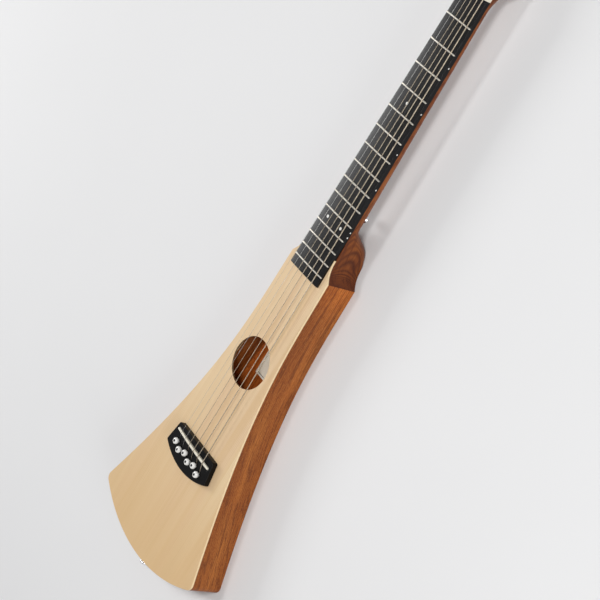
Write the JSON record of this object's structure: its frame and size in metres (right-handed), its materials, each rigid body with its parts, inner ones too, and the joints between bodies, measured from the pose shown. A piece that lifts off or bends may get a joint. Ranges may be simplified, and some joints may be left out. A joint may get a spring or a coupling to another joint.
{
  "type": "travel guitar",
  "caption": "Left-handed steel-string travel guitar with a slim trumpet-shaped body, spruce top, mahogany neck and back, and enclosed worm-geared tuners.",
  "frame": {"origin": "on the plane of the back, in the middle of the guitar's length and width", "axes": "+Y along the strings towards the head, +X towards the bass side, +Z out of the soundboard"},
  "size_m": [0.2146, 0.9068, 0.0585],
  "materials": {
    "spruce_top": "satin",
    "mahogany": "satin",
    "fretboard_black": "satin",
    "bridge_black": "satin",
    "nut_white": "gloss",
    "pin_white": "gloss",
    "maple_inside": "matte",
    "spruce_braces": "matte",
    "label_paper": "matte",
    "fret_wire": "polished",
    "plain_strings": "polished",
    "wound_strings": "wound",
    "chrome_parts": "polished"
  },
  "bodies": {
    "root": {"soundboard": "spruce_top", "body_shell": "mahogany", "neck": "mahogany", "fretboard": "fretboard_black", "nut": "nut_white", "saddle": "nut_white", "bridge": "bridge_black", "bridge_plate": "maple_inside", "brace_bass": "spruce_braces", "brace_treble": "spruce_braces", "brace_upper": "spruce_braces", "brace_cross": "spruce_braces", "label": "label_paper", "strap_button_tail": "chrome_parts", "strap_button_neck": "chrome_parts", "fret_01": "fret_wire", "fret_02": "fret_wire", "fret_03": "fret_wire", "fret_04": "fret_wire", "fret_05": "fret_wire", "fret_06": "fret_wire", "fret_07": "fret_wire", "fret_08": "fret_wire", "fret_09": "fret_wire", "fret_10": "fret_wire", "fret_11": "fret_wire", "fret_12": "fret_wire", "fret_13": "fret_wire", "fret_14": "fret_wire", "fret_15": "fret_wire", "bridge_pin_1": "pin_white", "string_1": "plain_strings", "tuner_housing_1": "chrome_parts", "bridge_pin_2": "pin_white", "string_2": "plain_strings", "tuner_housing_2": "chrome_parts", "bridge_pin_3": "pin_white", "string_3": "wound_strings", "tuner_housing_3": "chrome_parts", "bridge_pin_4": "pin_white", "string_4": "wound_strings", "tuner_housing_4": "chrome_parts", "bridge_pin_5": "pin_white", "string_5": "wound_strings", "tuner_housing_5": "chrome_parts", "bridge_pin_6": "pin_white", "string_6": "wound_strings", "tuner_housing_6": "chrome_parts"},
    "post_1": {"tuner_post_1": "chrome_parts"},
    "button_1": {"tuner_button_1": "chrome_parts"},
    "post_2": {"tuner_post_2": "chrome_parts"},
    "button_2": {"tuner_button_2": "chrome_parts"},
    "post_3": {"tuner_post_3": "chrome_parts"},
    "button_3": {"tuner_button_3": "chrome_parts"},
    "post_4": {"tuner_post_4": "chrome_parts"},
    "button_4": {"tuner_button_4": "chrome_parts"},
    "post_5": {"tuner_post_5": "chrome_parts"},
    "button_5": {"tuner_button_5": "chrome_parts"},
    "post_6": {"tuner_post_6": "chrome_parts"},
    "button_6": {"tuner_button_6": "chrome_parts"}
  },
  "joints": [
    {"name": "button_turn_1", "type": "hinge", "parent": "root", "child": "button_1", "pos_m": [-0.01907, 0.37512, 0.01852], "axis": [1, 0, 0], "continuous": true},
    {"name": "post_turn_1", "type": "hinge", "parent": "root", "child": "post_1", "pos_m": [-0.01907, 0.36753, 0.01979], "axis": [0, 0.165, 0.9863], "continuous": true},
    {"name": "button_turn_2", "type": "hinge", "parent": "root", "child": "button_2", "pos_m": [-0.0178, 0.40471, 0.01357], "axis": [1, 0, 0], "continuous": true},
    {"name": "post_turn_2", "type": "hinge", "parent": "root", "child": "post_2", "pos_m": [-0.0178, 0.39712, 0.01484], "axis": [0, 0.165, 0.9863], "continuous": true},
    {"name": "button_turn_3", "type": "hinge", "parent": "root", "child": "button_3", "pos_m": [-0.01652, 0.4343, 0.00861], "axis": [1, 0, 0], "continuous": true},
    {"name": "post_turn_3", "type": "hinge", "parent": "root", "child": "post_3", "pos_m": [-0.01652, 0.42671, 0.00989], "axis": [0, 0.165, 0.9863], "continuous": true},
    {"name": "button_turn_4", "type": "hinge", "parent": "root", "child": "button_4", "pos_m": [0.01652, 0.4343, 0.00861], "axis": [1, 0, 0], "continuous": true},
    {"name": "post_turn_4", "type": "hinge", "parent": "root", "child": "post_4", "pos_m": [0.01652, 0.42671, 0.00989], "axis": [0, 0.165, 0.9863], "continuous": true},
    {"name": "button_turn_5", "type": "hinge", "parent": "root", "child": "button_5", "pos_m": [0.0178, 0.40471, 0.01357], "axis": [1, 0, 0], "continuous": true},
    {"name": "post_turn_5", "type": "hinge", "parent": "root", "child": "post_5", "pos_m": [0.0178, 0.39712, 0.01484], "axis": [0, 0.165, 0.9863], "continuous": true},
    {"name": "button_turn_6", "type": "hinge", "parent": "root", "child": "button_6", "pos_m": [0.01907, 0.37512, 0.01852], "axis": [1, 0, 0], "continuous": true},
    {"name": "post_turn_6", "type": "hinge", "parent": "root", "child": "post_6", "pos_m": [0.01907, 0.36753, 0.01979], "axis": [0, 0.165, 0.9863], "continuous": true}
  ],
  "couplings": [
    {"joint": "post_turn_1", "follows": "button_turn_1", "ratio": 0.071429},
    {"joint": "post_turn_2", "follows": "button_turn_2", "ratio": 0.071429},
    {"joint": "post_turn_3", "follows": "button_turn_3", "ratio": 0.071429},
    {"joint": "post_turn_4", "follows": "button_turn_4", "ratio": 0.071429},
    {"joint": "post_turn_5", "follows": "button_turn_5", "ratio": 0.071429},
    {"joint": "post_turn_6", "follows": "button_turn_6", "ratio": 0.071429}
  ]
}
